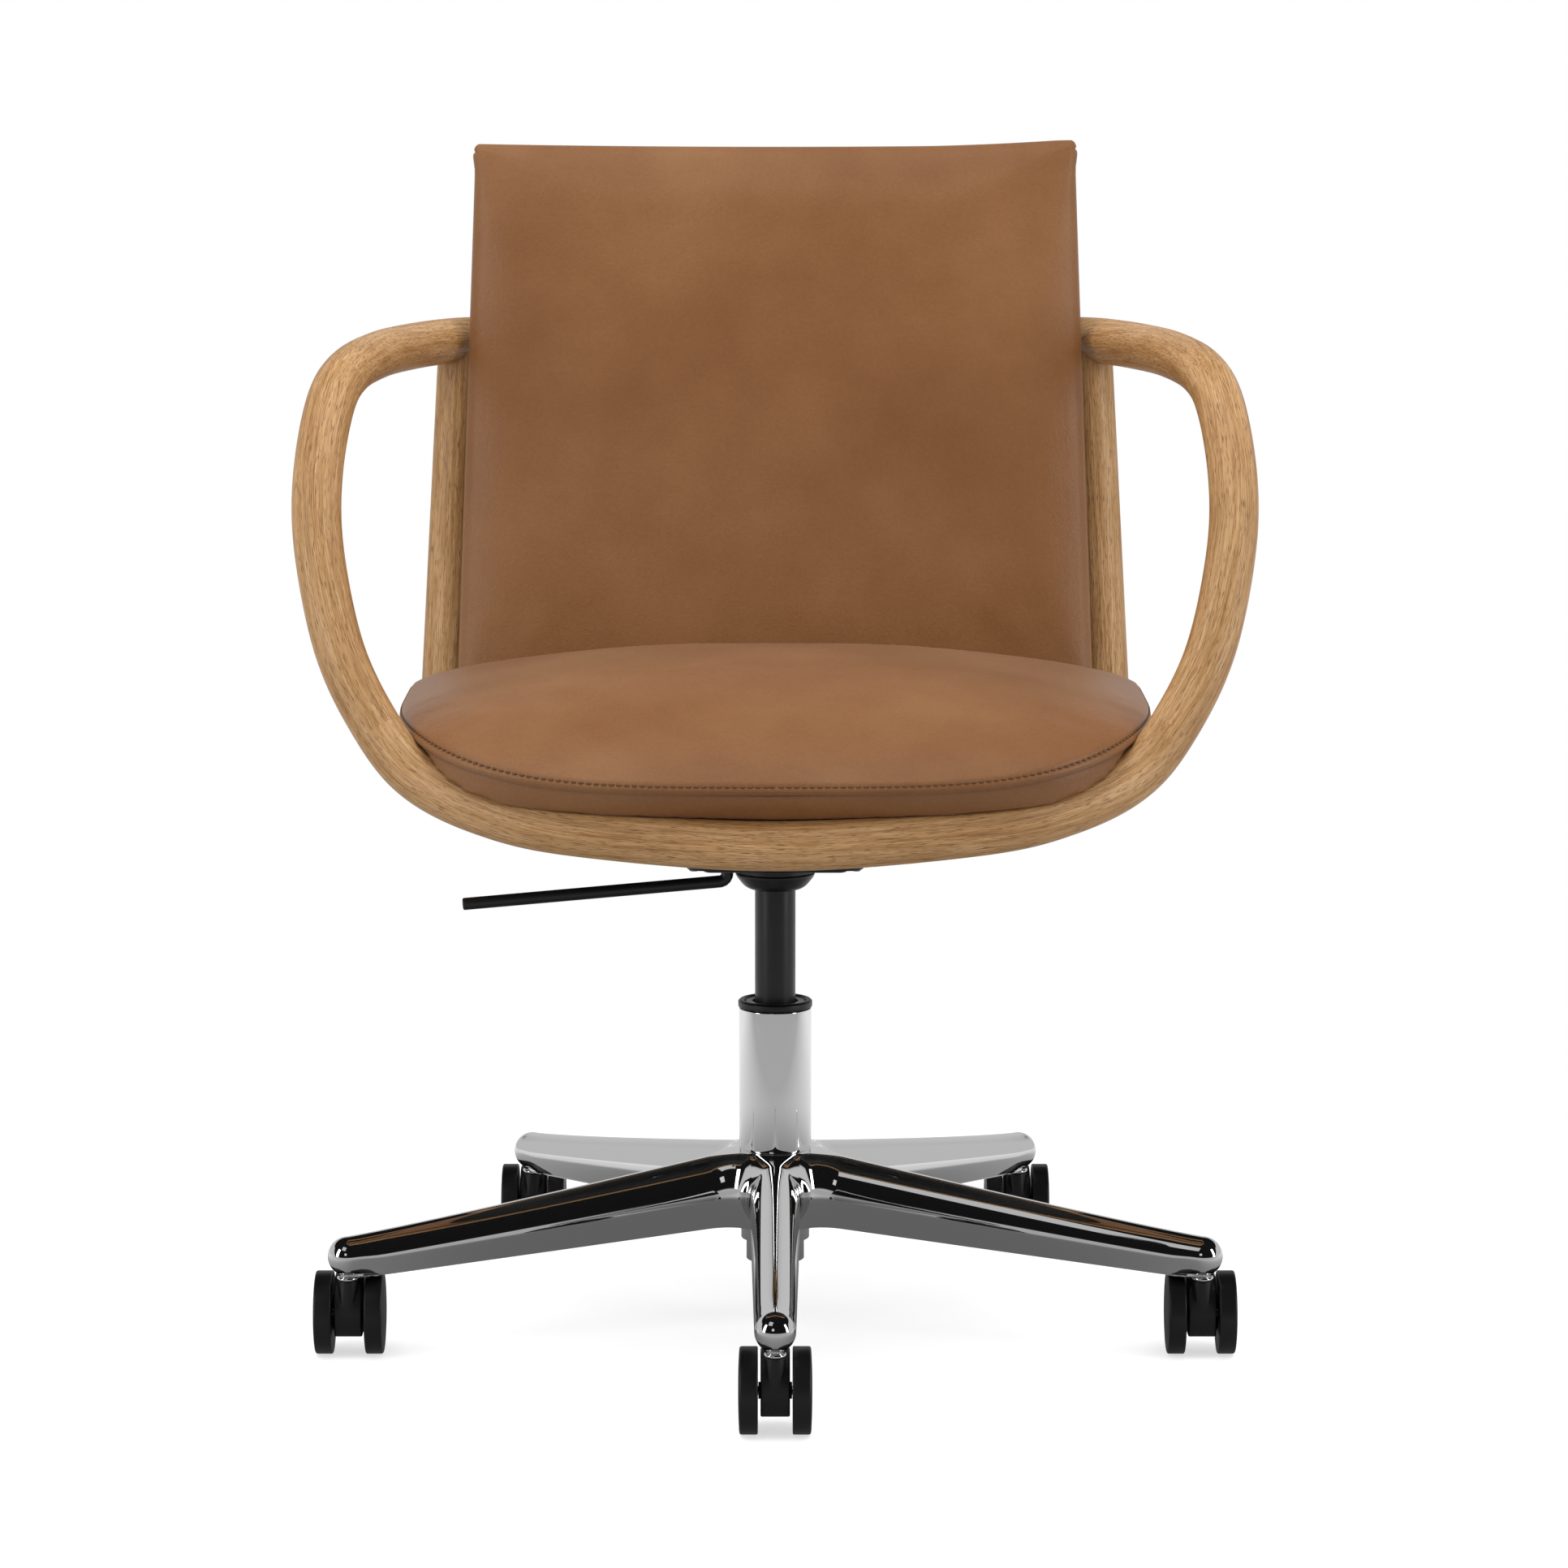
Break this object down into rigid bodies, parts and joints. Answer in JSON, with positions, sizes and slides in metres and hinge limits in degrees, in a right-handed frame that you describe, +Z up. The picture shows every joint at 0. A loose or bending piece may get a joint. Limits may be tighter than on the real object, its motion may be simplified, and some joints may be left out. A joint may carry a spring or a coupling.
{
  "type": "task chair",
  "caption": "Task chair with a looped oak frame and arms, tan leather seat and back, gas-lift column and a polished star base on twin-wheel casters.",
  "frame": {"origin": "on the floor under the middle of the part, which is the column's axis to about 1 mm", "axes": "+Z up, -Y the way a sitter faces, +X the sitter's left"},
  "size_m": [0.644, 0.6344, 0.8085],
  "materials": {
    "oak": "satin oiled oak",
    "leather": "smooth tan leather",
    "board": "black stained plywood",
    "polished_aluminium": "polished",
    "chrome": "polished",
    "black_steel": "satin black",
    "steel": "bright",
    "black_plastic": "matt black",
    "grey_plastic": "satin grey"
  },
  "bodies": {
    "base": {"base_star": "polished_aluminium", "stand_tube": "chrome", "guide_bush": "black_plastic", "tube_collar": "black_plastic", "collar_washer": "grey_plastic", "thrust_bearing": "steel", "caster_1_stem": "chrome", "caster_2_stem": "chrome", "caster_3_stem": "chrome", "caster_4_stem": "chrome", "caster_5_stem": "chrome"},
    "piston": {"piston_rod": "steel", "rod_clip": "steel"},
    "seat": {"front_rail": "oak", "back_rail": "oak", "rear_rail": "oak", "arm_riser_left": "oak", "arm_riser_right": "oak", "arm_top_left": "oak", "arm_top_right": "oak", "back_post_left": "oak", "back_post_right": "oak", "gas_cylinder": "black_steel", "mounting_plate": "black_steel", "plate_hub": "black_steel", "lever_pin": "steel", "seat_pan": "board", "seat_cushion": "leather", "back_panel": "leather", "back_cushion": "leather", "plate_screw_1": "steel", "plate_screw_2": "steel", "plate_screw_3": "steel", "plate_screw_4": "steel", "back_screw_1": "steel", "back_screw_2": "steel", "back_screw_3": "steel", "back_screw_4": "steel"},
    "lever": {"release_lever": "black_steel"},
    "button": {"release_button": "steel"},
    "caster_1": {"caster_1_housing": "black_plastic", "caster_1_axle": "steel"},
    "caster_1_wheel_left": {"caster_1_wheel_left": "black_plastic"},
    "caster_1_wheel_right": {"caster_1_wheel_right": "black_plastic"},
    "caster_2": {"caster_2_housing": "black_plastic", "caster_2_axle": "steel"},
    "caster_2_wheel_left": {"caster_2_wheel_left": "black_plastic"},
    "caster_2_wheel_right": {"caster_2_wheel_right": "black_plastic"},
    "caster_3": {"caster_3_housing": "black_plastic", "caster_3_axle": "steel"},
    "caster_3_wheel_left": {"caster_3_wheel_left": "black_plastic"},
    "caster_3_wheel_right": {"caster_3_wheel_right": "black_plastic"},
    "caster_4": {"caster_4_housing": "black_plastic", "caster_4_axle": "steel"},
    "caster_4_wheel_left": {"caster_4_wheel_left": "black_plastic"},
    "caster_4_wheel_right": {"caster_4_wheel_right": "black_plastic"},
    "caster_5": {"caster_5_housing": "black_plastic", "caster_5_axle": "steel"},
    "caster_5_wheel_left": {"caster_5_wheel_left": "black_plastic"},
    "caster_5_wheel_right": {"caster_5_wheel_right": "black_plastic"}
  },
  "joints": [
    {"name": "seat_swivel", "type": "hinge", "parent": "base", "child": "piston", "pos_m": [0, 0, 0.1], "axis": [0, 0, 1], "continuous": true},
    {"name": "seat_height", "type": "slide", "parent": "piston", "child": "seat", "axis": [0, 0, 1], "range_m": [-0.065, 0.045]},
    {"name": "lever_lift", "type": "hinge", "parent": "seat", "child": "lever", "pos_m": [-0.02288, -0.006, 0.3313], "axis": [0, 1, 0], "range_deg": [0, 6], "stiffness_Nm_per_rad": 2, "springref_deg": -8.59},
    {"name": "button_press", "type": "slide", "parent": "seat", "child": "button", "axis": [0, 0, -1], "range_m": [0, 0.0031]},
    {"name": "caster_1_swivel", "type": "hinge", "parent": "base", "child": "caster_1", "pos_m": [0, -0.305, 0.045], "axis": [0, 0, 1], "continuous": true},
    {"name": "caster_1_roll_left", "type": "hinge", "parent": "caster_1", "child": "caster_1_wheel_left", "pos_m": [0, -0.2895, 0.0284], "axis": [1, 0, 0], "continuous": true},
    {"name": "caster_1_roll_right", "type": "hinge", "parent": "caster_1", "child": "caster_1_wheel_right", "pos_m": [0, -0.2895, 0.0284], "axis": [1, 0, 0], "continuous": true},
    {"name": "caster_2_swivel", "type": "hinge", "parent": "base", "child": "caster_2", "pos_m": [0.29007, -0.09425, 0.045], "axis": [0, 0, 1], "continuous": true},
    {"name": "caster_2_roll_left", "type": "hinge", "parent": "caster_2", "child": "caster_2_wheel_left", "pos_m": [0.29007, -0.07875, 0.0284], "axis": [1, 0, 0], "continuous": true},
    {"name": "caster_2_roll_right", "type": "hinge", "parent": "caster_2", "child": "caster_2_wheel_right", "pos_m": [0.29007, -0.07875, 0.0284], "axis": [1, 0, 0], "continuous": true},
    {"name": "caster_3_swivel", "type": "hinge", "parent": "base", "child": "caster_3", "pos_m": [0.17927, 0.24675, 0.045], "axis": [0, 0, 1], "continuous": true},
    {"name": "caster_3_roll_left", "type": "hinge", "parent": "caster_3", "child": "caster_3_wheel_left", "pos_m": [0.17927, 0.26225, 0.0284], "axis": [1, 0, 0], "continuous": true},
    {"name": "caster_3_roll_right", "type": "hinge", "parent": "caster_3", "child": "caster_3_wheel_right", "pos_m": [0.17927, 0.26225, 0.0284], "axis": [1, 0, 0], "continuous": true},
    {"name": "caster_4_swivel", "type": "hinge", "parent": "base", "child": "caster_4", "pos_m": [-0.17927, 0.24675, 0.045], "axis": [0, 0, 1], "continuous": true},
    {"name": "caster_4_roll_left", "type": "hinge", "parent": "caster_4", "child": "caster_4_wheel_left", "pos_m": [-0.17927, 0.26225, 0.0284], "axis": [1, 0, 0], "continuous": true},
    {"name": "caster_4_roll_right", "type": "hinge", "parent": "caster_4", "child": "caster_4_wheel_right", "pos_m": [-0.17927, 0.26225, 0.0284], "axis": [1, 0, 0], "continuous": true},
    {"name": "caster_5_swivel", "type": "hinge", "parent": "base", "child": "caster_5", "pos_m": [-0.29007, -0.09425, 0.045], "axis": [0, 0, 1], "continuous": true},
    {"name": "caster_5_roll_left", "type": "hinge", "parent": "caster_5", "child": "caster_5_wheel_left", "pos_m": [-0.29007, -0.07875, 0.0284], "axis": [1, 0, 0], "continuous": true},
    {"name": "caster_5_roll_right", "type": "hinge", "parent": "caster_5", "child": "caster_5_wheel_right", "pos_m": [-0.29007, -0.07875, 0.0284], "axis": [1, 0, 0], "continuous": true}
  ],
  "couplings": [
    {"joint": "button_press", "follows": "lever_lift", "m_per_rad": 0.0285}
  ]
}
